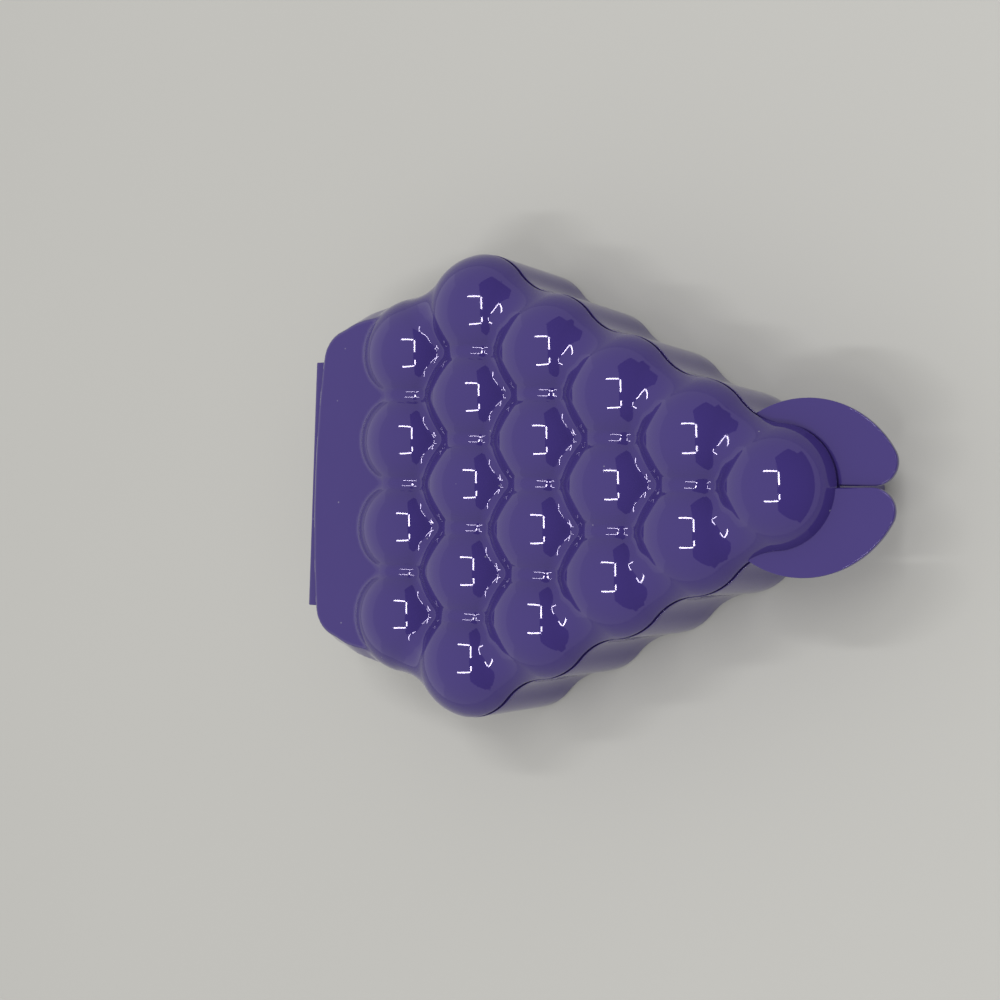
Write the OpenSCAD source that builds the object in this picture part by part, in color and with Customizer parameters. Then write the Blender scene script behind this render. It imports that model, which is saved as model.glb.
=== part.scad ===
// Grape keeper: a clamshell box shaped like a bunch of grapes, with a strip along the back that bends.
// The origin is on the table under the middle of the box. The tip with the two leaves points to -Y.

/* [Bunch] */
// Distance between neighbouring grapes of one row
grape_pitch = 29; // [28:0.25:30]
// Distance between neighbouring grapes of the back row
back_pitch = 29.75; // [29:0.25:30.5]
// Distance from one row to the next
row_step = 26.85; // [26:0.05:27.5]
// How much further out the tip grape sits
tip_extra = 0.8; // [0:0.1:2]
// Radius of a grape's bulge at the rim
grape_r = 19.5; // [19.4:0.05:19.6]
// Radius of the hollow between two outer grapes
valley_r = 20; // [17:0.5:23]

/* [Base] */
// Height of the base, up to its rim
base_h = 42.6; // [30:0.2:60]
// Thickness of the base's wall
base_wall = 1.6; // [1.3:0.1:1.8]
// Thickness of the base's floor
floor_t = 1.8; // [1.4:0.1:2.6]
// Height of the thicker band under the rim
band_h = 3; // [2.5:0.1:5]
// Height of the tongue that stands on the rim
tongue_h = 1.4; // [1:0.1:1.5]
// Thickness of the tongue
tongue_t = 0.9; // [0.7:0.1:1.2]
// Room between the tongue and the lid's wall
tongue_clear = 0.6; // [0.6:0.05:0.8]

/* [Lid] */
// Open line between the base's rim and the lid's edge
rim_gap = 0.8; // [0.5:0.1:1]
// Height of the lid's flat plate above its edge
plate_rise = 9.1; // [9.1:0.1:9.6]
// Radius of the ball that each grape is a part of
ball_r = 20; // [19.95:0.05:20.1]
// Height of the grapes' tops above the lid's edge
dome_rise = 15.6; // [15.5:0.05:15.7]
// Rounding from the plate down into the hollows between the outer grapes
valley_round = 9; // [8:0.1:9]
// Thickness of the lid
lid_wall = 1.5; // [1.2:0.1:1.6]

/* [Shoulder] */
// Distance from the back row of grapes to the back edge
shoulder_depth = 38.8; // [37:0.2:41]
// Radius of the bowed back edge
back_bow_r = 412; // [380:2:480]
// Radius of the two back corners
corner_r = 14.4; // [13:0.2:16]
// Distance of each corner's centre from the middle
corner_x = 42.4; // [41:0.2:43.4]
// How far the shoulder's walls lean in from the rim to the plate
shoulder_lean = 4.7; // [4.7:0.1:5.4]

/* [Hinge] */
// Length of the hinge strip
hinge_w = 86.2; // [60:0.2:87]
// Distance from the back edge to the line that the hinge bends about
strip_out = 3.4; // [2.6:0.1:4.4]
// Thickness of the strip on each half
strip_t = 1.5; // [1.2:0.1:2]
// Thickness of the thin web that bends
web_t = 0.4; // [0.3:0.05:0.6]

/* [Leaves] */
// Radius of a leaf's rounded side
leaf_r = 32; // [30:0.25:34]
// Radius of a leaf's tip
leaf_tip_r = 7; // [5:0.25:8]
// Distance of the side's centre behind the tip grape
leaf_back = 7.6; // [6:0.2:9]
// Distance of the side's centre past the middle line
leaf_cross = 5.1; // [4:0.1:6]
// Slot between the two leaves
leaf_slot = 1.2; // [0.8:0.1:2]
// Thickness of a leaf
leaf_t = 1.8; // [1.4:0.1:2.4]
// Distance of each leaf from the edge of its half
leaf_gap = 0.3; // [0.1:0.1:0.6]

/* [Hidden] */
$fn = 96;

grape_color = [0.29, 0.25, 0.53];
row_counts = [4, 5, 4, 3, 2, 1];
last_row = len(row_counts) - 1;
// Rounds that touch are set this deep into each other, so that they cross cleanly
seat = 0.1;
// A cut passes this far beyond the face that it opens
over = 1;
// Each half of the hinge strip ends this far before the axis
axis_room = 0.6;
// The fills in the outer hollows end this far below the plate
fill_sink = 0.04;

lid_z = base_h + rim_gap;
axis_z = base_h + rim_gap / 2;
tongue_z = base_h + tongue_h;
plate_z = lid_z + plate_rise;
ball_z = lid_z + dome_rise - ball_r;
web_r = rim_gap / 2 + web_t - 0.1;
tongue_in = lid_wall + tongue_clear;

// Places along Y, first measured from the back row of grapes
leaf_mid = -last_row * row_step - tip_extra - leaf_back;
leaf_tip_x = leaf_slot / 2 + leaf_tip_r;
leaf_reach = leaf_r - leaf_tip_r;
leaf_drop = sqrt(leaf_reach * leaf_reach - pow(leaf_tip_x + leaf_cross, 2));
front_edge = leaf_mid - leaf_drop - leaf_tip_r;
back_edge = shoulder_depth + strip_out + web_r;

// The same places with the origin in the middle
shift_y = -(front_edge + back_edge) / 2;
leaf_y = leaf_mid + shift_y;
axis_y = shoulder_depth + strip_out + shift_y;
bow = [0, shoulder_depth - back_bow_r + shift_y];
bow_reach = back_bow_r - corner_r + seat;
corner = [corner_x, bow[1] + sqrt(bow_reach * bow_reach - corner_x * corner_x)];

function row_pitch(i) = i == 0 ? back_pitch : grape_pitch;
function row_x(i) = (row_counts[i] - 1) / 2 * row_pitch(i);
function row_y(i) = shift_y - i * row_step - (i == last_row ? tip_extra : 0);
function flip_x(p) = [-p[0], p[1]];
side = [for (i = [0:last_row]) [row_x(i), row_y(i)]];

// Centre of the round hollow between two neighbouring outer grapes
function valley_centre(a, b) =
    let (
        reach = grape_r + valley_r - seat,
        apart = norm(b - a),
        out = [a[1] - b[1], b[0] - a[0]] / apart
    )
    (a + b) / 2 + out * sqrt(reach * reach - apart * apart / 4);

// The straight side wall touches the back corner and the first outer grape
side_gap = corner - side[0];
side_turn = atan2(side_gap[1], side_gap[0]) - acos((grape_r - corner_r) / norm(side_gap));
side_out = [cos(side_turn), sin(side_turn)];

module both_sides() {
    children();
    mirror([1, 0, 0]) children();
}

// The area between the outer grapes' centres
module core_shape() {
    polygon(concat([corner], side, [for (i = [last_row:-1:0]) flip_x(side[i])], [flip_x(corner)]));
}

// The shoulder seen from above, d inside the rim
module shoulder_shape(d) {
    r = corner_r - d;
    lean_angle = asin(corner_x / bow_reach);
    turn = [for (k = [0:6]) side_turn + (90 - lean_angle - side_turn) * k / 6];
    bend = [for (a = turn) corner + r * [cos(a), sin(a)]];
    bow_turn = [for (k = [1:5]) lean_angle * (1 - k / 3)];
    bowed = [for (a = bow_turn) bow + (back_bow_r - d) * [sin(a), cos(a)]];
    near = side[0] + side_out * (grape_r - seat - d);
    polygon(concat(
        [side[0], near],
        bend,
        bowed,
        [for (k = [6:-1:0]) flip_x(bend[k])],
        [flip_x(near), flip_x(side[0])]
    ));
}

// The whole outline of the base, d inside the rim
module outline(d) {
    core_shape();
    both_sides() {
        for (i = [0:last_row])
            translate(side[i]) circle(grape_r - d);
        for (i = [1:last_row])
            difference() {
                polygon([side[i - 1], side[i], valley_centre(side[i - 1], side[i])]);
                translate(valley_centre(side[i - 1], side[i])) circle(valley_r + d);
            }
        translate(corner) circle(corner_r - d);
        polygon([
            side[0],
            side[0] + side_out * (grape_r - seat - d),
            corner + side_out * (corner_r - seat - d),
            corner
        ]);
    }
    intersection() {
        translate(bow) circle(back_bow_r - d);
        translate([-corner_x, corner[1] - over]) square([2 * corner_x, 2 * corner_r]);
    }
}

// The same outline with straight walls in the hollows, for the tongue that fits into the lid
module tongue_outline(d) {
    core_shape();
    both_sides() {
        for (i = [0:last_row])
            translate(side[i]) circle(grape_r - d);
        for (i = [1:last_row])
            polygon(valley_strip(side[i - 1], side[i], d));
        translate(corner) circle(corner_r - d);
        polygon([
            side[0],
            side[0] + side_out * (grape_r - seat - d),
            corner + side_out * (corner_r - seat - d),
            corner
        ]);
    }
    intersection() {
        translate(bow) circle(back_bow_r - d);
        translate([-corner_x, corner[1] - over]) square([2 * corner_x, 2 * corner_r]);
    }
}

function valley_out(a, b) = [a[1] - b[1], b[0] - a[0]] / norm(b - a);
function valley_reach(a, b) = norm(valley_centre(a, b) - (a + b) / 2) - valley_r;
function valley_strip(a, b, d) =
    let (out = valley_out(a, b) * (valley_reach(a, b) - d))
    [a, b, b + out, a + out];

module layer(z_from, z_to) {
    translate([0, 0, z_from])
        linear_extrude(z_to - z_from)
            children();
}

// One leaf as seen from above, on the +X side of the slot
module leaf_shape() {
    tip = [leaf_tip_x, leaf_y - leaf_drop];
    middle = [-leaf_cross, leaf_y];
    past = tip + (tip - middle) / leaf_reach * 2 * leaf_tip_r;
    translate(tip) circle(leaf_tip_r);
    intersection() {
        translate(middle) circle(leaf_r);
        polygon([
            [leaf_slot / 2, tip[1]],
            tip,
            past,
            [leaf_r, past[1]],
            [leaf_r, side[last_row - 1][1]],
            [leaf_slot / 2, side[last_row - 1][1]]
        ]);
    }
}

// The half of the hinge strip that starts at a height of z
module strip(z) {
    translate([-hinge_w / 2, axis_y - axis_room - strip_out - 3, z])
        cube([hinge_w, strip_out + 3, strip_t]);
}

module base() {
    color(grape_color)
        difference() {
            union() {
                layer(0, base_h) outline(0);
                layer(base_h - over, tongue_z) tongue_outline(tongue_in);
                layer(base_h - leaf_gap - leaf_t, base_h - leaf_gap) leaf_shape();
                strip(base_h - strip_t);
            }
            layer(floor_t, base_h - band_h) outline(base_wall);
            layer(floor_t, tongue_z + over) tongue_outline(tongue_in + tongue_t);
        }
}

// One grape of the lid, d inside its outer face
module dome(d, z_from) {
    rotate_extrude()
        intersection() {
            translate([0, ball_z]) circle(ball_r - d);
            translate([0, z_from]) square([ball_r, ball_r]);
        }
}

// The fill of the hollow between two outer grapes, bent over towards the plate
module valley_fill(a, b, d, z_from) {
    out = valley_out(a, b);
    foot = valley_reach(a, b);
    top_z = plate_z - fill_sink;
    bend = [for (k = [1:4]) (valley_round - d) * [cos(22.5 * k), sin(22.5 * k)]];
    translate((a + b) / 2)
        rotate([90, 0, atan2(out[1], out[0])])
            linear_extrude(norm(b - a) - over, center = true)
                polygon(concat(
                    [[-over, z_from], [foot - d, z_from], [foot - d, top_z - valley_round]],
                    [for (p = bend) p + [foot - valley_round, top_z - valley_round]],
                    [[-over, top_z - d]]
                ));
}

module shoulder_form(d, z_from) {
    slope = shoulder_lean / plate_rise;
    thin = 0.02;
    hull() {
        layer(z_from, z_from + thin) shoulder_shape(d + (z_from - lid_z) * slope);
        layer(plate_z - d - thin, plate_z - d) shoulder_shape(d + (plate_rise - d) * slope);
    }
}

module lid_form(d, z_from) {
    for (i = [0:last_row])
        for (k = [0:row_counts[i] - 1])
            translate([row_x(i) - k * row_pitch(i), row_y(i), 0])
                dome(d, z_from);
    both_sides()
        for (i = [1:last_row])
            valley_fill(side[i - 1], side[i], d, z_from);
    shoulder_form(d, z_from);
    layer(z_from, plate_z - d) core_shape();
}

module lid() {
    color(grape_color)
        difference() {
            union() {
                lid_form(0, lid_z - over);
                strip(lid_z);
                layer(lid_z + leaf_gap, lid_z + leaf_gap + leaf_t) mirror([1, 0]) leaf_shape();
            }
            lid_form(lid_wall, lid_z - 2 * over);
            translate([-grape_pitch * 4, -grape_pitch * 5, lid_z - 3 * over])
                cube([grape_pitch * 8, grape_pitch * 10, 3 * over]);
        }
}

module hinge_web() {
    color(grape_color)
        translate([-hinge_w / 2, axis_y, axis_z])
            rotate([90, 0, 90])
                linear_extrude(hinge_w)
                    difference() {
                        union() {
                            circle(web_r);
                            translate([-axis_room, -web_r]) square([axis_room, 2 * web_r]);
                        }
                        circle(web_r - web_t);
                        translate([-2 * web_r, -2 * web_r]) square([2 * web_r - axis_room, 4 * web_r]);
                        translate([-over, web_t - web_r]) square([over, 2 * (web_r - web_t)]);
                    }
}

base();
lid();
hinge_web();
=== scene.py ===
import math
import bmesh
import bpy
import numpy as np
from mathutils import Matrix, Vector


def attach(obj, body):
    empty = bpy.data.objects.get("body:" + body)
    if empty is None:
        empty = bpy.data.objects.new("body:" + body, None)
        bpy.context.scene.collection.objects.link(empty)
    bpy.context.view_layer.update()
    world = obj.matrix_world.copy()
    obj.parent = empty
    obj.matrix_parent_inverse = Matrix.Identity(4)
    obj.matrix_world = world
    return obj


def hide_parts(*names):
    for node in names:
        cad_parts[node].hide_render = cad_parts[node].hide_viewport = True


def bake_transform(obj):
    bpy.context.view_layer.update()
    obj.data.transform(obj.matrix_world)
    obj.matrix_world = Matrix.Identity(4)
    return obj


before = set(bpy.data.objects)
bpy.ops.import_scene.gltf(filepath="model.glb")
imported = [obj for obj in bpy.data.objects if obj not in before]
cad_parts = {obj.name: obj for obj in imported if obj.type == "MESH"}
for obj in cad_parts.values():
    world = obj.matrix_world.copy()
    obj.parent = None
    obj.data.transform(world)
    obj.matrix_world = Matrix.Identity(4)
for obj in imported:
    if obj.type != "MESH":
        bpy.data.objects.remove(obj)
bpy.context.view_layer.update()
print("frame loaded")

# shapes are worked out in millimetres and brought to metres when a piece is finished
toMetres = 0.001

# the outline that all pieces share
bunch = {
    "rows": [4, 5, 4, 3, 2, 1],     # grapes in each row, from the hinge to the tip
    "pitch": 29.0,
    "backPitch": 29.75,
    "rowStep": 26.85,
    "tipExtra": 0.8,
    "rimRadius": 19.5,              # a grape's bulge at the rim
    "valleyRadius": 20.0,           # the hollow between two outer grapes
    "backDepth": 38.8,              # back row to the back edge
    "bowRadius": 412.0,
    "cornerRadius": 14.4,
    "cornerX": 42.4,
    "shiftY": 64.142,               # brings the back row to its place in the frame
    "sideBow": 0.7,                 # the shoulder's side bulges out by this
    "sideSteps": 16,
    "spacing": 1.5,                 # length of one step along the outline
}


def rowPlaces(row):
    step = bunch["backPitch"] if row == 0 else bunch["pitch"]
    count = bunch["rows"][row]
    y = bunch["shiftY"] - row * bunch["rowStep"]
    if row == len(bunch["rows"]) - 1:
        y -= bunch["tipExtra"]
    return [np.array([(count - 1) / 2 * step - k * step, y]) for k in range(count)]


grapes = [p for row in range(len(bunch["rows"])) for p in rowPlaces(row)]
sideGrapes = [rowPlaces(row)[0] for row in range(len(bunch["rows"]))]
bowCentre = np.array([0.0, bunch["backDepth"] - bunch["bowRadius"] + bunch["shiftY"]])
bowReach = bunch["bowRadius"] - bunch["cornerRadius"]
corner = np.array([bunch["cornerX"],
                   bowCentre[1] + math.sqrt(bowReach ** 2 - bunch["cornerX"] ** 2)])
sideGap = corner - sideGrapes[0]
sideAngle = math.atan2(sideGap[1], sideGap[0]) - math.acos(
    (bunch["rimRadius"] - bunch["cornerRadius"]) / np.linalg.norm(sideGap))
sideOut = np.array([math.cos(sideAngle), math.sin(sideAngle)])
sideAlong = np.array([-sideOut[1], sideOut[0]])
sideRun = float(sideGap @ sideAlong)


def sideBulge(t):
    return bunch["sideBow"] * np.sin(math.pi * np.clip(t, 0, 1) ** 1.4) ** 2


def valleyCentre(a, b):
    reach = bunch["rimRadius"] + bunch["valleyRadius"]
    apart = np.linalg.norm(b - a)
    out = np.array([a[1] - b[1], b[0] - a[0]]) / apart
    return (a + b) / 2 + out * math.sqrt(reach ** 2 - apart ** 2 / 4)


valleys = [valleyCentre(sideGrapes[i], sideGrapes[i + 1]) for i in range(len(sideGrapes) - 1)]


def towards(a, b):
    return math.atan2(b[1] - a[1], b[0] - a[0])


def arcPoints(centre, radius, offset, start, end):
    count = max(2, round(abs(end - start) * radius / bunch["spacing"]))
    angles = np.linspace(start, end, count + 1)[:-1]
    return [centre + (radius + offset) * np.array([math.cos(a), math.sin(a)]) for a in angles]


def outlineHalf(inward):
    # from the tip along the +X side to the middle of the back edge
    points = []
    angle = -math.pi / 2
    for i in range(len(sideGrapes) - 1, 0, -1):
        here, after, hollow = sideGrapes[i], sideGrapes[i - 1], valleys[i - 1]
        end = towards(here, hollow)
        points += arcPoints(here, bunch["rimRadius"], -inward, angle, end)
        start = towards(hollow, here)
        stop = towards(hollow, after)
        if start < 0:
            start += 2 * math.pi
        if stop < 0:
            stop += 2 * math.pi
        points += arcPoints(hollow, bunch["valleyRadius"], inward, start, stop)
        angle = towards(after, hollow)
    points += arcPoints(sideGrapes[0], bunch["rimRadius"], -inward, angle, sideAngle)
    first = sideGrapes[0] + sideOut * (bunch["rimRadius"] - inward)
    last = corner + sideOut * (bunch["cornerRadius"] - inward)
    steps = bunch["sideSteps"]
    points += [first + (last - first) * k / steps + sideOut * sideBulge(k / steps)
               for k in range(steps)]
    lean = math.asin(bunch["cornerX"] / bowReach)
    points += arcPoints(corner, bunch["cornerRadius"], -inward, sideAngle, math.pi / 2 - lean)
    points += arcPoints(bowCentre, bunch["bowRadius"], -inward, math.pi / 2 - lean, math.pi / 2)
    points.append(bowCentre + np.array([0.0, bunch["bowRadius"] - inward]))
    return points


def outline(inward):
    half = outlineHalf(inward)
    other = [np.array([-p[0], p[1]]) for p in half[1:-1]][::-1]
    return half + other


def newObject(name, data):
    obj = bpy.data.objects.new(name, data)
    bpy.context.collection.objects.link(obj)
    return obj


def objectFrom(bm, name):
    mesh = bpy.data.meshes.new(name)
    bm.to_mesh(mesh)
    bm.free()
    return newObject(name, mesh)


def finishPiece(bm, name, body, recalc=True):
    bmesh.ops.remove_doubles(bm, verts=bm.verts, dist=0.0005)
    if recalc:
        bmesh.ops.recalc_face_normals(bm, faces=bm.faces)
    bmesh.ops.scale(bm, vec=(toMetres, toMetres, toMetres), verts=bm.verts)
    piece = objectFrom(bm, name)
    piece.data.materials.append(purplePlastic)
    if body:
        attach(piece, body)
    return piece


def loopEdges(bm, loop):
    return [bm.edges.get((loop[i], loop[(i + 1) % len(loop)])) for i in range(len(loop))]


def firstLoop(bm, places):
    ring = bmesh.ops.create_circle(bm, segments=len(places), radius=1)["verts"]
    for vert, place in zip(ring, places):
        vert.co = place
    return ring


def nextLoop(bm, loop, places):
    # pulls a new ring of edges out of the last one and puts it on the given places
    made = bmesh.ops.extrude_edge_only(bm, edges=loopEdges(bm, loop))
    fresh = {v for v in made["geom"] if isinstance(v, bmesh.types.BMVert)}
    ring = []
    for vert, place in zip(loop, places):
        mate = next(e.other_vert(vert) for e in vert.link_edges if e.other_vert(vert) in fresh)
        mate.co = Vector(place)
        ring.append(mate)
    return ring


def shadeSmooth(bm):
    for face in bm.faces:
        face.smooth = True


def closedRings(ringAt, pairs):
    # rings at the given distances inside and heights, closed with flat faces at both ends
    bm = bmesh.new()
    rings = [firstLoop(bm, ringAt(*pairs[0]))]
    for inward, z in pairs[1:]:
        rings.append(nextLoop(bm, rings[-1], ringAt(inward, z)))
    shadeSmooth(bm)
    for closed in (rings[0], rings[-1]):
        edges = loopEdges(bm, closed)
        bmesh.ops.triangle_fill(bm, edges=edges, use_beauty=True, use_dissolve=False)
    return bm


# the plastic's look
finish = {
    "colour": (0.042, 0.028, 0.150, 1),
    "deepColour": (0.037, 0.024, 0.138, 1),
    "gloss": 0.03,
    "wornGloss": 0.09,
    "ripple": 0.012,
    "indexOfRefraction": 1.55,
    "glossTint": (0.82, 0.74, 1.0, 1),
    "dustColour": (0.32, 0.31, 0.36, 1),
    "dustShare": 0.28,
    "dustStrength": 0.45,
    # how fine each pattern is: more is finer
    "flowScale": 28,
    "dustScale": 170,
    "dullScale": 60,
    "rippleScale": 110,
}


def addSocket(group, name, inOut, kind, value=None):
    socket = group.interface.new_socket(name=name, in_out=inOut, socket_type=kind)
    if value is not None:
        socket.default_value = value
    return socket


def makeMouldedGroup():
    # flow marks, fine ripple and dust specks of a moulded plastic, worked out once
    group = bpy.data.node_groups.new("mouldedPlastic", "ShaderNodeTree")
    addSocket(group, "Colour", "INPUT", "NodeSocketColor", finish["colour"])
    addSocket(group, "Deep Colour", "INPUT", "NodeSocketColor", finish["deepColour"])
    addSocket(group, "Gloss", "INPUT", "NodeSocketFloat", finish["gloss"])
    addSocket(group, "Worn Gloss", "INPUT", "NodeSocketFloat", finish["wornGloss"])
    addSocket(group, "Ripple", "INPUT", "NodeSocketFloat", finish["ripple"])
    addSocket(group, "Colour", "OUTPUT", "NodeSocketColor")
    addSocket(group, "Roughness", "OUTPUT", "NodeSocketFloat")
    addSocket(group, "Normal", "OUTPUT", "NodeSocketVector")
    nodes, links = group.nodes, group.links
    given = nodes.new("NodeGroupInput")
    out = nodes.new("NodeGroupOutput")
    coords = nodes.new("ShaderNodeTexCoord")

    flow = nodes.new("ShaderNodeTexNoise")
    flow.inputs["Scale"].default_value = finish["flowScale"]
    flow.inputs["Detail"].default_value = 3
    links.new(coords.outputs["Object"], flow.inputs["Vector"])
    flowMix = nodes.new("ShaderNodeMix")
    flowMix.data_type = "RGBA"
    links.new(flow.outputs["Fac"], flowMix.inputs["Factor"])
    links.new(given.outputs["Colour"], flowMix.inputs["A"])
    links.new(given.outputs["Deep Colour"], flowMix.inputs["B"])

    # dust: small pale specks, thinly scattered
    specks = nodes.new("ShaderNodeTexVoronoi")
    specks.inputs["Scale"].default_value = finish["dustScale"]
    links.new(coords.outputs["Object"], specks.inputs["Vector"])
    speckSize = nodes.new("ShaderNodeMapRange")
    speckSize.inputs["From Min"].default_value = 0.035
    speckSize.inputs["From Max"].default_value = 0.055
    speckSize.inputs["To Min"].default_value = 1
    speckSize.inputs["To Max"].default_value = 0
    links.new(specks.outputs["Distance"], speckSize.inputs["Value"])
    few = nodes.new("ShaderNodeSeparateColor")
    links.new(specks.outputs["Color"], few.inputs["Color"])
    fewer = nodes.new("ShaderNodeMath")
    fewer.operation = "GREATER_THAN"
    fewer.inputs[1].default_value = 1 - finish["dustShare"]
    links.new(few.outputs["Red"], fewer.inputs[0])
    dust = nodes.new("ShaderNodeMath")
    dust.operation = "MULTIPLY"
    links.new(speckSize.outputs["Result"], dust.inputs[0])
    links.new(fewer.outputs["Value"], dust.inputs[1])
    dustMix = nodes.new("ShaderNodeMix")
    dustMix.data_type = "RGBA"
    dustMix.inputs["B"].default_value = finish["dustColour"]
    soft = nodes.new("ShaderNodeMath")
    soft.operation = "MULTIPLY"
    soft.inputs[1].default_value = finish["dustStrength"]
    links.new(dust.outputs["Value"], soft.inputs[0])
    links.new(soft.outputs["Value"], dustMix.inputs["Factor"])
    links.new(flowMix.outputs["Result"], dustMix.inputs["A"])
    links.new(dustMix.outputs["Result"], out.inputs["Colour"])

    # gloss: a little duller in large soft patches and on the dust
    patch = nodes.new("ShaderNodeTexNoise")
    patch.inputs["Scale"].default_value = finish["dullScale"]
    patch.inputs["Detail"].default_value = 5
    links.new(coords.outputs["Object"], patch.inputs["Vector"])
    patchRange = nodes.new("ShaderNodeMapRange")
    patchRange.inputs["From Min"].default_value = 0.5
    patchRange.inputs["From Max"].default_value = 0.8
    links.new(patch.outputs["Fac"], patchRange.inputs["Value"])
    dullest = nodes.new("ShaderNodeMath")
    dullest.operation = "MAXIMUM"
    links.new(patchRange.outputs["Result"], dullest.inputs[0])
    links.new(dust.outputs["Value"], dullest.inputs[1])
    glossMix = nodes.new("ShaderNodeMix")
    links.new(dullest.outputs["Value"], glossMix.inputs["Factor"])
    links.new(given.outputs["Gloss"], glossMix.inputs["A"])
    links.new(given.outputs["Worn Gloss"], glossMix.inputs["B"])
    links.new(glossMix.outputs["Result"], out.inputs["Roughness"])

    # ripple: the slight waviness of a moulded wall
    wave = nodes.new("ShaderNodeTexNoise")
    wave.inputs["Scale"].default_value = finish["rippleScale"]
    wave.inputs["Detail"].default_value = 1
    links.new(coords.outputs["Object"], wave.inputs["Vector"])
    bump = nodes.new("ShaderNodeBump")
    bump.inputs["Distance"].default_value = 0.001
    links.new(given.outputs["Ripple"], bump.inputs["Strength"])
    links.new(wave.outputs["Fac"], bump.inputs["Height"])
    links.new(bump.outputs["Normal"], out.inputs["Normal"])
    return group


mouldedGroup = makeMouldedGroup()


def makePlastic(name):
    material = bpy.data.materials.new(name)
    material.use_nodes = True
    nodes, links = material.node_tree.nodes, material.node_tree.links
    shader = nodes["Principled BSDF"]
    shader.inputs["IOR"].default_value = finish["indexOfRefraction"]
    shader.inputs["Specular Tint"].default_value = finish["glossTint"]
    detail = nodes.new("ShaderNodeGroup")
    detail.node_tree = mouldedGroup
    detail.inputs["Colour"].default_value = finish["colour"]
    detail.inputs["Deep Colour"].default_value = finish["deepColour"]
    detail.inputs["Gloss"].default_value = finish["gloss"]
    detail.inputs["Worn Gloss"].default_value = finish["wornGloss"]
    detail.inputs["Ripple"].default_value = finish["ripple"]
    links.new(detail.outputs["Colour"], shader.inputs["Base Color"])
    links.new(detail.outputs["Roughness"], shader.inputs["Roughness"])
    links.new(detail.outputs["Normal"], shader.inputs["Normal"])
    return material


purplePlastic = makePlastic("purplePlastic")
print("materials made")

# the tub
baseForm = {
    "height": 42.1,
    "draft": 0.8,
    "foot": 2.6,
    "lip": 0.1,            # round on both edges of the outer lip
    "groove": 41.0,        # bottom of the groove between lip and tongue
    "ledge": 2.1,          # rim to the tongue's outer face
    "tongue": 0.9,
    "tongueTop": 44.0,
    "band": 39.6,
    "wall": 1.6,
    "floor": 1.8,
    "innerFoot": 2.2,
    "outerHeights": (10, 18, 26, 34, 39),
    "innerHeights": (36, 28, 20, 12, 5),
}


def wallLean(z):
    return baseForm["draft"] * (1 - z / baseForm["height"])


def baseProfile():
    # pairs of distance inside the rim and height: from the underside up the outside,
    # over lip, groove and tongue, and down the inside
    f = baseForm
    pairs = []
    foot = f["foot"]
    footIn = wallLean(foot) + foot
    for k in range(7):
        a = math.pi / 2 * k / 6
        pairs.append((footIn - foot * math.sin(a), foot - foot * math.cos(a)))
    pairs += [(wallLean(z), z) for z in f["outerHeights"]]
    lip = f["lip"]
    for k in range(7):
        a = math.pi / 2 * k / 6
        pairs.append((0.02 + lip - lip * math.cos(a), f["height"] - lip + lip * math.sin(a)))
    for k in range(1, 5):
        a = math.pi / 2 * k / 4
        pairs.append((0.08 + lip + lip * math.sin(a), f["height"] - lip + lip * math.cos(a)))
    low = f["groove"]
    pairs += [(2 * lip + 0.1, low + 0.3), (2 * lip + 0.18, low + 0.08), (2 * lip + 0.4, low)]
    pairs += [(f["ledge"] - 0.3, low), (f["ledge"] - 0.06, low + 0.1), (f["ledge"], low + 0.4)]
    top = f["tongueTop"]
    pairs += [(f["ledge"], top - 0.35), (f["ledge"] + 0.08, top - 0.12), (f["ledge"] + 0.28, top)]
    inside = f["ledge"] + f["tongue"]
    pairs += [(inside - 0.28, top), (inside - 0.06, top - 0.12), (inside, top - 0.35)]
    pairs += [(inside, f["band"]), (inside - 0.1, f["band"] - 0.4)]
    pairs.append((f["wall"] + 0.25, f["band"] - 1.5))
    pairs += [(f["wall"] + wallLean(z), z) for z in f["innerHeights"]]
    inner = f["innerFoot"]
    start = f["wall"] + wallLean(4)
    for k in range(6):
        a = math.pi / 2 * k / 5
        pairs.append((start + inner - inner * math.cos(a),
                      f["floor"] + inner - inner * math.sin(a)))
    return pairs


def baseRing(inward, z):
    return [(x, y, z) for x, y in outline(inward)]


baseShell = finishPiece(closedRings(baseRing, baseProfile()), "baseShell", "tub")
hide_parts("base")
print("base made:", len(baseShell.data.polygons), "faces")

# the cover
lidForm = {
    "edge": 43.7,
    "ballRadius": 20.0,
    "ballZ": 39.0,
    "plateZ": 52.5,
    "lean": 4.1,           # the shoulder's walls lean in by this from rim to plate
    "leanAtBall": 1.4,     # and by this much more where they reach the first ball
    "crease": 3.4,         # round between the domes
    "rimCrease": [9.4, 9.7, 9.7, 9.7, 10.2],    # round between two outer balls at the rim
    "creaseSteps": [(-2.5, 3.5, 0.45), (3.0, 15.0, 0.55)],    # from, to and share of its growth
    "creaseReach": (14, 20),    # it fades out this far along the outline
    "shoulderCrease": 7.0,
    "shoulderRound": 0.8,
    "plateEdge": 1.0,
    "wall": 1.5,
    "roll": 0.45,          # round on the lid's lower edge
    "rollRings": [(0.0, 0.26), (0.1, 0.12), (0.24, 0.03), (0.4, 0.0), (1.15, 0.0)],
    "voxel": 1.05,         # size of the rough shape's faces
    "roughLow": 37.0,
    "roughSteps": [(0.1, 44.6), (1.6, 48.0), (3.4, 50.2), (6.5, 51.4)],    # inside the rim, height
    "roughPlate": 4.4,
}


def roundUnion(a, b, r):
    u = np.maximum(r - a, 0)
    v = np.maximum(r - b, 0)
    return np.maximum(r, np.minimum(a, b)) - np.sqrt(u * u + v * v)


def roundBoth(a, b, r):
    u = np.maximum(r + a, 0)
    v = np.maximum(r + b, 0)
    return np.minimum(-r, np.maximum(a, b)) + np.sqrt(u * u + v * v)


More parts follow.
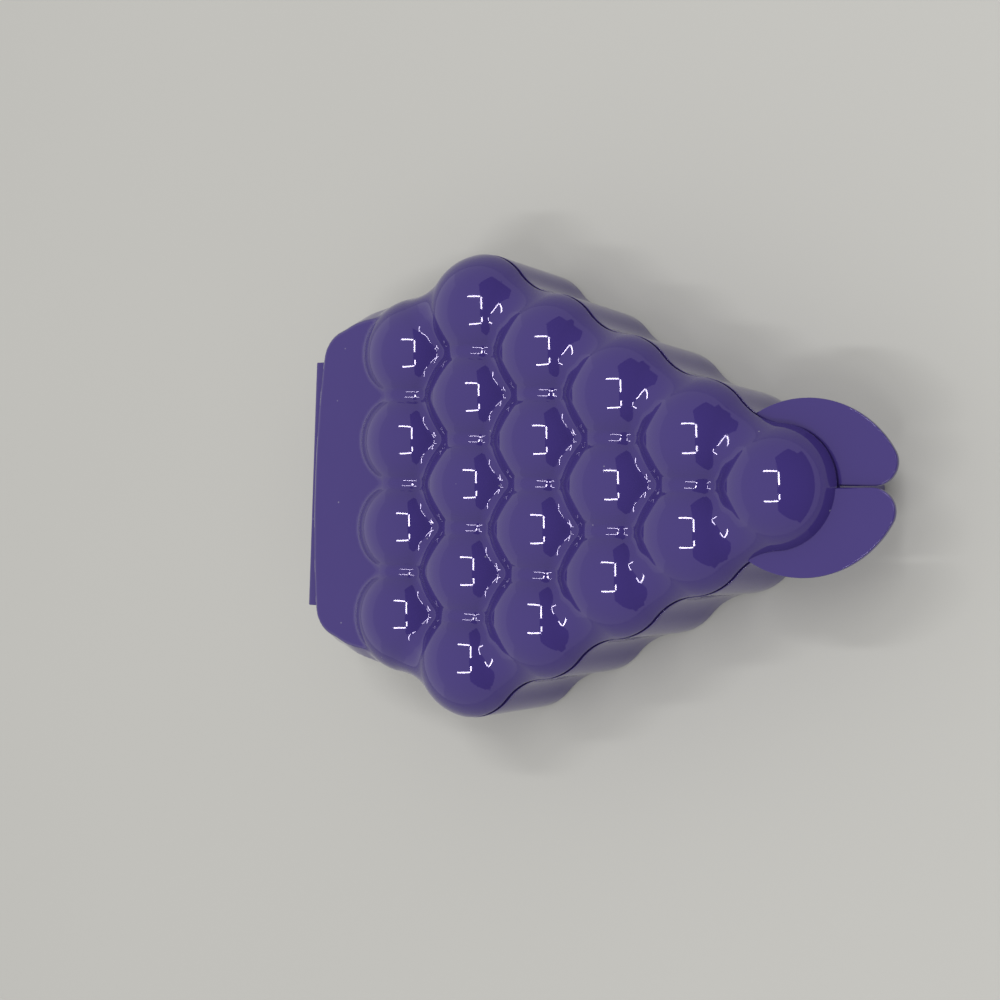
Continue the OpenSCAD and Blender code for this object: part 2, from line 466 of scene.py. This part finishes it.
def easeUp(t):
    t = np.clip(t, 0, 1)
    return t * t * (3 - 2 * t)


def sidePlace(x, y):
    # how far along the shoulder's side, from the first ball (0) to the corner (1)
    return ((x - sideGrapes[0][0]) * sideAlong[0] + (y - sideGrapes[0][1]) * sideAlong[1]) / sideRun


def rimDistance(x, y):
    # distance outside the shoulder's part of the rim outline
    toCorner = np.hypot(x - corner[0], y - corner[1]) - bunch["cornerRadius"]
    wall = (x - corner[0]) * sideOut[0] + (y - corner[1]) * sideOut[1] - bunch["cornerRadius"]
    wall = wall - sideBulge(sidePlace(x, y))
    back = np.hypot(x, y - bowCentre[1]) - bunch["bowRadius"]
    angle = np.arctan2(y - corner[1], x - corner[0])
    lean = math.pi / 2 - math.asin(bunch["cornerX"] / bowReach)
    bend = (angle > sideAngle) & (angle < lean)
    return np.where(bend, toCorner, np.maximum(wall, back))


def unit(v):
    return v / np.maximum(np.linalg.norm(v, axis=1), 1e-9)[:, None]


def slopeOf(shape, p, step=0.02):
    g = np.zeros_like(p)
    for k in range(3):
        e = np.zeros(3)
        e[k] = step
        g[:, k] = (shape(p + e) - shape(p - e)) / (2 * step)
    return g


def creaseAt(p):
    # the round between the balls; from the line between two outer balls it grows out to the rim
    f = lidForm
    x, y = np.abs(p[:, 0]), p[:, 1]
    r = np.full(len(p), f["crease"])
    near, far = f["creaseReach"]
    for a, b, c, most in zip(sideGrapes, sideGrapes[1:], valleys, f["rimCrease"]):
        middle = (a + b) / 2
        out = (c - middle) / np.linalg.norm(c - middle)
        outwards = (x - middle[0]) * out[0] + (y - middle[1]) * out[1]
        beside = np.abs((y - middle[1]) * out[0] - (x - middle[0]) * out[1])
        grown = sum(share * easeUp((outwards - start) / (end - start))
                    for start, end, share in f["creaseSteps"])
        grown = grown * (1 - easeUp((beside - near) / (far - near)))
        r = np.maximum(r, f["crease"] + (most - f["crease"]) * grown)
    return r


def domeShape(p):
    # the balls, rolled into each other, and the way their surface faces
    f = lidForm
    r = creaseAt(p)
    near = np.full(len(p), 1e9)
    total = np.zeros(len(p))
    way = np.zeros_like(p)
    nearWay = np.zeros_like(p)
    for gx, gy in grapes:
        v = p - np.array([gx, gy, f["ballZ"]])
        length = np.linalg.norm(v, axis=1)
        d = length - f["ballRadius"]
        n = v / np.maximum(length, 1e-9)[:, None]
        closer = d < near
        nearWay[closer] = n[closer]
        near = np.minimum(near, d)
        w = np.maximum(r - d, 0)
        total += w ** 2
        way += w[:, None] * n
    way = np.where((total > 0)[:, None], unit(way), nearWay)
    return np.maximum(r, near) - np.sqrt(total), way


def shoulderBody(p):
    f = lidForm
    x, y, z = np.abs(p[:, 0]), p[:, 1], p[:, 2]
    rise = f["plateZ"] - f["edge"]
    lean = f["lean"] + f["leanAtBall"] * (1 - easeUp(sidePlace(x, y) / 0.9))
    wall = rimDistance(x, y) + lean * (z - f["edge"]) / rise
    wall = wall * math.cos(math.atan(f["lean"] / rise))
    return roundBoth(wall, z - f["plateZ"], f["plateEdge"])


def shoulderFade(p):
    # takes the shoulder away among the balls
    beside = -sidePlace(np.abs(p[:, 0]), p[:, 1]) * sideRun
    return 1.5 * np.maximum(0, np.maximum(beside, sideGrapes[0][1] - 4 - p[:, 1]))


def lidDistance(p):
    # distance to the lid's outer face; a crease is rolled less where the two faces meet flatter
    f = lidForm
    shape, way = domeShape(p)
    near = np.flatnonzero(p[:, 1] > sideGrapes[0][1] - 12)
    if len(near):
        q = p[near]
        turn = 1 - (unit(slopeOf(shoulderBody, q)) * way[near]).sum(1)
        soft = np.clip(f["shoulderCrease"] * turn, 0, f["shoulderRound"]) + 0.002
        shape[near] = roundUnion(shape[near], shoulderBody(q) + shoulderFade(q), soft)
    return shape


def lidSlope(p):
    return slopeOf(lidDistance, p)


def settle(p, rounds):
    # moves the points onto the lid's outer face
    for _ in range(rounds):
        d = lidDistance(p)
        g = lidSlope(p)
        p = p - np.clip(d, -1.0, 1.0)[:, None] * g / np.maximum((g * g).sum(1), 0.05)[:, None]
    return p


def prism(bm, loop, low, high):
    ring = firstLoop(bm, [(x, y, low) for x, y in loop])
    bottom = bmesh.ops.contextual_create(bm, geom=ring)["faces"]
    lifted = bmesh.ops.extrude_face_region(bm, geom=bottom, use_keep_orig=True)
    top = [v for v in lifted["geom"] if isinstance(v, bmesh.types.BMVert)]
    bmesh.ops.translate(bm, verts=top, vec=(0, 0, high - low))


def roughLid():
    # balls and steps that come near the lid's shape, made one skin
    bm = bmesh.new()
    f = lidForm
    for gx, gy in grapes:
        bmesh.ops.create_icosphere(bm, subdivisions=4, radius=f["ballRadius"],
                                   matrix=Matrix.Translation((gx, gy, f["ballZ"])))
    for inward, top in f["roughSteps"]:
        prism(bm, outline(inward), f["roughLow"], top)
    back = [p for p in outlineHalf(f["roughPlate"]) if p[1] > sideGrapes[0][1] + 2]
    other = [np.array([-p[0], p[1]]) for p in back[::-1]]
    prism(bm, back + other, f["roughLow"], f["plateZ"])
    bmesh.ops.recalc_face_normals(bm, faces=bm.faces)
    rough = objectFrom(bm, "roughLid")
    remesh = rough.modifiers.new("remesh", "REMESH")
    remesh.mode = "VOXEL"
    remesh.voxel_size = f["voxel"]
    graph = bpy.context.evaluated_depsgraph_get()
    whole = bpy.data.meshes.new_from_object(rough.evaluated_get(graph))
    bpy.data.objects.remove(rough)
    return whole


def coordsOf(bm):
    return np.array([v.co for v in bm.verts], dtype=float)


def putCoords(bm, p):
    for v, q in zip(bm.verts, p):
        v.co = q


def outerFace(cut):
    # the rough lid settled onto the exact shape and cut off at its lower edge
    whole = roughLid()
    bm = bmesh.new()
    bm.from_mesh(whole)
    bpy.data.meshes.remove(whole)
    low = [v for v in bm.verts if v.co.z < lidForm["edge"] - 3]
    bmesh.ops.delete(bm, geom=low, context="VERTS")
    putCoords(bm, settle(coordsOf(bm), 4))
    for _ in range(3):
        inner = [v for v in bm.verts if not v.is_boundary]
        bmesh.ops.smooth_vert(bm, verts=inner, factor=0.5,
                              use_axis_x=True, use_axis_y=True, use_axis_z=True)
        putCoords(bm, settle(coordsOf(bm), 2))

    # the rows of points nearest the edge are brought onto it before the cut
    p = coordsOf(bm)
    close = np.abs(p[:, 2] - cut) < 0.4 * lidForm["voxel"]
    for _ in range(5):
        q = p[close]
        q[:, 2] = cut
        d = lidDistance(q)
        g = lidSlope(q)
        g[:, 2] = 0
        q -= d[:, None] * g / np.maximum((g * g).sum(1), 0.05)[:, None]
        p[close] = q
    putCoords(bm, p)
    geom = bm.verts[:] + bm.edges[:] + bm.faces[:]
    bmesh.ops.bisect_plane(bm, geom=geom, dist=0.02,
                           plane_co=(0, 0, cut), plane_no=(0, 0, 1), clear_inner=True)
    bm.normal_update()
    ways = lidSlope(coordsOf(bm))
    if sum(v.normal.dot(Vector(n)) for v, n in zip(bm.verts, ways)) < 0:
        bmesh.ops.reverse_faces(bm, faces=bm.faces)
    return bm


def borderRing(bm):
    # the points of the open lower edge, one after the other
    border = [v for v in bm.verts if v.is_boundary]
    ring = [border[0]]
    before = None
    while len(ring) <= len(border):
        here = ring[-1]
        ahead = [e.other_vert(here) for e in here.link_edges if e.is_boundary]
        ahead = [v for v in ahead if v is not before]
        if ring[0] in ahead and len(ring) > 2:
            break
        before = here
        ring.append(ahead[0])
    print("lid edge:", len(ring), "of", len(border), "points in one ring")
    return ring


def addWall(bm):
    # an inner copy of the outer face, and the lower edge rolled from one to the other
    f = lidForm
    slope = lidSlope(coordsOf(bm))
    slope /= np.linalg.norm(slope, axis=1)[:, None]
    faceWay = dict(zip(bm.verts[:], slope))
    ring = borderRing(bm)
    twin = bmesh.ops.duplicate(bm, geom=bm.verts[:] + bm.edges[:] + bm.faces[:])
    twinOf = twin["vert_map"]
    for v, way in faceWay.items():
        twinOf[v].co = Vector(np.array(v.co) - f["wall"] * way)
    twinFaces = [g for g in twin["geom"] if isinstance(g, bmesh.types.BMFace)]
    bmesh.ops.reverse_faces(bm, faces=twinFaces)
    flat = [faceWay[v][:2] / np.linalg.norm(faceWay[v][:2]) for v in ring]
    places = [np.array(v.co) for v in ring]
    inside = [Vector(twinOf[v].co) for v in ring]
    loop = ring
    for inward, z in f["rollRings"]:
        spots = [(q[0] - n[0] * inward, q[1] - n[1] * inward, f["edge"] + z)
                 for q, n in zip(places, flat)]
        loop = nextLoop(bm, loop, spots)
    nextLoop(bm, loop, inside)


def shadeExactly(mesh, cut):
    # the outer face's shading follows the exact shape
    p = np.empty(len(mesh.vertices) * 3)
    mesh.vertices.foreach_get("co", p)
    p = p.reshape(-1, 3) / toMetres
    own = np.empty(len(mesh.vertices) * 3)
    mesh.vertices.foreach_get("normal", own)
    own = own.reshape(-1, 3)
    g = lidSlope(p)
    g /= np.linalg.norm(g, axis=1)[:, None]
    onOuter = (np.abs(lidDistance(p)) < 0.08) & (p[:, 2] > cut + 0.02)
    own[onOuter] = g[onOuter]
    mesh.normals_split_custom_set_from_vertices(own.tolist())


def makeLid():
    cut = lidForm["edge"] + lidForm["roll"]
    bm = outerFace(cut)
    addWall(bm)
    shadeSmooth(bm)
    piece = finishPiece(bm, "lidShell", "cover", recalc=False)
    shadeExactly(piece.data, cut)
    return piece


lidShell = makeLid()
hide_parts("lid")
print("lid made:", len(lidShell.data.polygons), "faces")

# two flat strips and the thin web that joins them
strip = {
    "width": 86.2,
    "axisY": 106.342,
    "axisZ": 43.0,
    "endBefore": 0.6,      # the strips stop this far before the axis
    "thickness": 1.5,
    "rootDepth": 5.2,
    "baseTop": 42.6,
    "lidLow": 43.4,
    "edgeRound": 0.3,
    "webRadius": 0.7,
    "webThickness": 0.4,
    "webReach": 0.45,      # half the height over which the web bends
}


def finishStrip(bm, name, body):
    shadeSmooth(bm)
    piece = finishPiece(bm, name, body)
    piece.data.set_sharp_from_angle(angle=math.radians(50))
    return piece


def makeStrip(name, body, low):
    s = strip
    place = (0, s["axisY"] - s["endBefore"] - s["rootDepth"] / 2, low + s["thickness"] / 2)
    bm = bmesh.new()
    made = bmesh.ops.create_cube(bm, size=1)
    bmesh.ops.scale(bm, verts=made["verts"], vec=(s["width"], s["rootDepth"], s["thickness"]))
    bmesh.ops.translate(bm, verts=made["verts"], vec=place)
    bmesh.ops.bevel(bm, geom=bm.edges[:], offset=s["edgeRound"], segments=3,
                    affect="EDGES", profile=0.5, material=-1)
    return finishStrip(bm, name, body)


def webSection():
    # a thin U round the axis, as places in Y and Z
    s = strip
    middle = s["webRadius"] - s["webThickness"] / 2
    path = [(-s["endBefore"] - 0.3, -middle), (-s["endBefore"] / 2, -middle)]
    path += [(middle * math.cos(a), middle * math.sin(a))
             for a in np.linspace(-math.pi / 2, math.pi / 2, 17)]
    path += [(-s["endBefore"] / 2, middle), (-s["endBefore"] - 0.3, middle)]
    half = s["webThickness"] / 2
    outer, inner = [], []
    for i, p in enumerate(path):
        a, b = path[max(i - 1, 0)], path[min(i + 1, len(path) - 1)]
        t = np.array([b[0] - a[0], b[1] - a[1]])
        t /= np.linalg.norm(t)
        n = np.array([t[1], -t[0]])
        outer.append((s["axisY"] + p[0] + n[0] * half, s["axisZ"] + p[1] + n[1] * half))
        inner.append((s["axisY"] + p[0] - n[0] * half, s["axisZ"] + p[1] - n[1] * half))
    return outer + inner[::-1]


def makeWeb():
    s = strip
    bm = bmesh.new()
    section = webSection()
    start = s["edgeRound"] - s["width"] / 2
    rings = [firstLoop(bm, [(start, y, z) for y, z in section])]
    for x in np.linspace(start, -start, 13)[1:]:
        rings.append(nextLoop(bm, rings[-1], [(x, y, z) for y, z in section]))
    bmesh.ops.contextual_create(bm, geom=rings[0])
    bmesh.ops.contextual_create(bm, geom=rings[-1])
    piece = finishStrip(bm, "hingeWeb", None)
    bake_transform(piece)
    return piece


baseStrip = makeStrip("baseStrip", "tub", strip["baseTop"] - strip["thickness"])
lidStrip = makeStrip("lidStrip", "cover", strip["lidLow"])
hingeWeb = makeWeb()
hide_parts("hinge_web")
print("hinge strip made")

# the two tabs beside the slot
leaf = {
    "sideRadius": 32.0,
    "tipRadius": 7.0,
    "cross": 5.1,
    "thickness": 2.1,
    "round": 0.4,
    # behindTip: the side's centre lies this far past the tip grape; edge: the slot's side of the
    # leaf; sunk: how far its root runs into the shell's wall
    "base": {"top": 42.15, "behindTip": 8.15, "edge": 0.6, "sunk": 0.29},
    "lid": {"top": 44.8, "behindTip": 8.3, "edge": -0.1, "sunk": 0.9},
}


def leafOutline(own, inset):
    # the +X leaf: from its slot round the tip, up the side, then back along the shell's wall
    side = np.array([-leaf["cross"], sideGrapes[-1][1] - own["behindTip"]])
    edge = own["edge"]
    reach = leaf["sideRadius"] - leaf["tipRadius"]
    tipX = edge + leaf["tipRadius"]
    tip = np.array([tipX, side[1] - math.sqrt(reach ** 2 - (tipX - side[0]) ** 2)])
    turn = towards(side, tip)
    outer = leaf["sideRadius"] - inset
    points = []
    for a in np.linspace(math.pi, 2 * math.pi + turn, 30):
        points.append(tip + (leaf["tipRadius"] - inset) * np.array([math.cos(a), math.sin(a)]))
    wall = [p for p in outlineHalf(own["sunk"]) if p[1] < sideGrapes[-2][1] + 12]
    places = np.linspace(0, len(wall) - 1, 2000)
    rank = np.arange(len(wall))
    line = np.stack([np.interp(places, rank, [p[k] for p in wall]) for k in (0, 1)], axis=1)
    line = line[(line[:, 0] >= edge + inset) & (np.hypot(*(line - side).T) < outer)]
    last = towards(side, line[-1])
    for a in np.linspace(turn, last, 44)[1:-1]:
        points.append(side + outer * np.array([math.cos(a), math.sin(a)]))
    run = np.r_[0, np.cumsum(np.hypot(*np.diff(line, axis=0).T))]
    steps = np.linspace(run[-1], 0, 60)
    across, along = (np.interp(steps, run, line[:, k]) for k in (0, 1))
    return points + list(np.stack([across, along], axis=1))


def makeLeaf(name, body, own, side):
    # rings pulled up the rounded edge, then closed above and below
    top = own["top"]
    low = top - leaf["thickness"]
    r = leaf["round"]
    turns = np.linspace(0, math.pi / 2, 6)
    pairs = [(r - r * math.sin(a), low + r - r * math.cos(a)) for a in turns]
    pairs += [(r - r * math.cos(a), top - r + r * math.sin(a)) for a in turns]

    def leafRing(inset, z):
        return [(side * x, y, z) for x, y in leafOutline(own, inset)]

    return finishPiece(closedRings(leafRing, pairs), name, body)


baseLeaf = makeLeaf("baseLeaf", "tub", leaf["base"], 1)
lidLeaf = makeLeaf("lidLeaf", "cover", leaf["lid"], -1)
print("leaves made")

# floor and light, in metres
studio = {
    "floorColour": (0.42, 0.417, 0.397, 1),
    "floorSize": 3,
    "ceiling": 0.72,            # strength of the soft light from above
    "ceilingColour": (1.0, 0.99, 0.97, 1),
    "farWall": 0.2,             # added towards the hinge end
    "tubeHeight": 2.0,
    "tubeWidth": 0.10,
    "tubeStrength": 11.0,       # watts for each metre of tube
    "clothColour": (0.06, 0.06, 0.065, 1),
    "clothHeight": 2.05,
    "clothDrop": 1.3,           # what hangs down along its far edge
    "clothEdge": [(-1.05, -0.625), (-1.89, -0.645), (-3.19, -1.43), (-6.4, -3.66), (-6.4, -4.0),
                  (6.9, -4.0), (6.9, -1.85), (2.4, -0.217), (0.97, -0.60)],
}

# ceiling tubes, from and to
tubes = {
    "tubeFarSide": ((0.93, 0.366), (0.99, -0.52)),
    "tubeNearLong": ((0.963, -0.63), (0.09, -0.70)),
    "tubeNearShort": ((-0.478, -0.73), (-0.852, -0.735)),
    "tubeNearSide": ((-0.91, 0.262), (-0.945, -0.67)),
}


def makeFloor():
    bm = bmesh.new()
    bmesh.ops.create_grid(bm, x_segments=4, y_segments=4, size=studio["floorSize"])
    floor = objectFrom(bm, "floor")
    material = bpy.data.materials.new("paleTable")
    material.use_nodes = True
    nodes, links = material.node_tree.nodes, material.node_tree.links
    shader = nodes["Principled BSDF"]
    shader.inputs["Roughness"].default_value = 0.6
    coords = nodes.new("ShaderNodeTexCoord")
    grain = nodes.new("ShaderNodeTexNoise")
    grain.inputs["Scale"].default_value = 6
    links.new(coords.outputs["Object"], grain.inputs["Vector"])
    mix = nodes.new("ShaderNodeMix")
    mix.data_type = "RGBA"
    mix.inputs["A"].default_value = studio["floorColour"]
    mix.inputs["B"].default_value = tuple(c * 0.97 for c in studio["floorColour"][:3]) + (1,)
    links.new(grain.outputs["Fac"], mix.inputs["Factor"])
    links.new(mix.outputs["Result"], shader.inputs["Base Color"])
    floor.data.materials.append(material)


def makeWorld():
    # soft light all round, a little stronger towards the hinge end
    world = bpy.data.worlds.new("studio")
    bpy.context.scene.world = world
    world.use_nodes = True
    nodes, links = world.node_tree.nodes, world.node_tree.links
    back = nodes["Background"]
    back.inputs["Color"].default_value = studio["ceilingColour"]
    coords = nodes.new("ShaderNodeTexCoord")
    # a paler wall at the hinge end, below the line where it meets the ceiling
    wall = None
    for across, upward in ((0.0, -1.26), (-0.97, 0.0), (0.9, 0.0)):
        side = nodes.new("ShaderNodeVectorMath")
        side.operation = "DOT_PRODUCT"
        side.inputs[1].default_value = (across, 1.0, upward)
        links.new(coords.outputs["Generated"], side.inputs[0])
        edge = nodes.new("ShaderNodeMapRange")
        edge.inputs["From Min"].default_value = 0.0
        edge.inputs["From Max"].default_value = 0.02
        links.new(side.outputs["Value"], edge.inputs["Value"])
        if wall is None:
            wall = edge.outputs["Result"]
            continue
        both = nodes.new("ShaderNodeMath")
        both.operation = "MULTIPLY"
        links.new(wall, both.inputs[0])
        links.new(edge.outputs["Result"], both.inputs[1])
        wall = both.outputs["Value"]
    strength = nodes.new("ShaderNodeMapRange")
    strength.inputs["To Min"].default_value = studio["ceiling"]
    strength.inputs["To Max"].default_value = studio["ceiling"] + studio["farWall"]
    links.new(wall, strength.inputs["Value"])
    links.new(strength.outputs["Result"], back.inputs["Strength"])


def makeTubes():
    for name, (start, end) in tubes.items():
        z = studio["tubeHeight"]
        a, b = Vector((*start, z)), Vector((*end, z))
        length = (b - a).length
        light = bpy.data.lights.new(name, "AREA")
        light.shape = "RECTANGLE"
        light.size, light.size_y = length, studio["tubeWidth"]
        light.energy = studio["tubeStrength"] * length
        tube = newObject(name, light)
        tube.location = (a + b) / 2
        tube.rotation_euler = (0, 0, math.atan2(b.y - a.y, b.x - a.x))


def makeCloth():
    # dark cloth hung at the near end of the studio, seen only as a reflection
    bm = bmesh.new()
    ring = firstLoop(bm, [(x, y, studio["clothHeight"]) for x, y in studio["clothEdge"]])
    bmesh.ops.contextual_create(bm, geom=ring)
    farthest = min(y for x, y in studio["clothEdge"])
    far = [e for e in bm.edges if all(v.co.y < farthest + 0.1 for v in e.verts)]
    down = bmesh.ops.extrude_edge_only(bm, edges=far)
    low = [v for v in down["geom"] if isinstance(v, bmesh.types.BMVert)]
    bmesh.ops.translate(bm, verts=low, vec=(0, 0, -studio["clothDrop"]))
    cloth = objectFrom(bm, "darkCloth")
    cloth.visible_camera = False
    cloth.visible_diffuse = False
    cloth.visible_shadow = False
    cloth.visible_transmission = False
    material = bpy.data.materials.new("darkCloth")
    material.use_nodes = True
    shader = material.node_tree.nodes["Principled BSDF"]
    shader.inputs["Base Color"].default_value = studio["clothColour"]
    shader.inputs["Roughness"].default_value = 1
    shader.inputs["Specular IOR Level"].default_value = 0
    cloth.data.materials.append(material)


# the photograph's camera, in millimetres and degrees
view = {
    "focal": 1684.35,           # in pixels of a frame 1000 wide
    "frame": 1000,
    "distance": 561.34,
    "elevation": 57.14,
    "azimuth": -2.76,
    "roll": -85.94,
    "target": (-4.822, 29.587, 40.0),
}


def makeCamera():
    el, az, roll = (math.radians(view[k]) for k in ("elevation", "azimuth", "roll"))
    back = Vector((math.sin(az) * math.cos(el), -math.cos(az) * math.cos(el), math.sin(el)))
    right = (-back).cross(Vector((0, 0, 1))).normalized()
    up = right.cross(-back)
    r = right * math.cos(roll) + up * math.sin(roll)
    u = -right * math.sin(roll) + up * math.cos(roll)
    place = (Vector(view["target"]) + back * view["distance"]) * toMetres
    turn = Matrix((r, u, back)).transposed().to_4x4()
    data = bpy.data.cameras.new("camera")
    data.sensor_width = 36
    data.lens = view["focal"] / view["frame"] * data.sensor_width
    data.clip_start = 0.01
    camera = newObject("camera", data)
    camera.matrix_world = Matrix.Translation(place) @ turn
    bpy.context.scene.camera = camera


makeFloor()
makeWorld()
makeTubes()
makeCloth()
makeCamera()
bpy.context.scene.view_settings.view_transform = "Standard"
print("stage made")
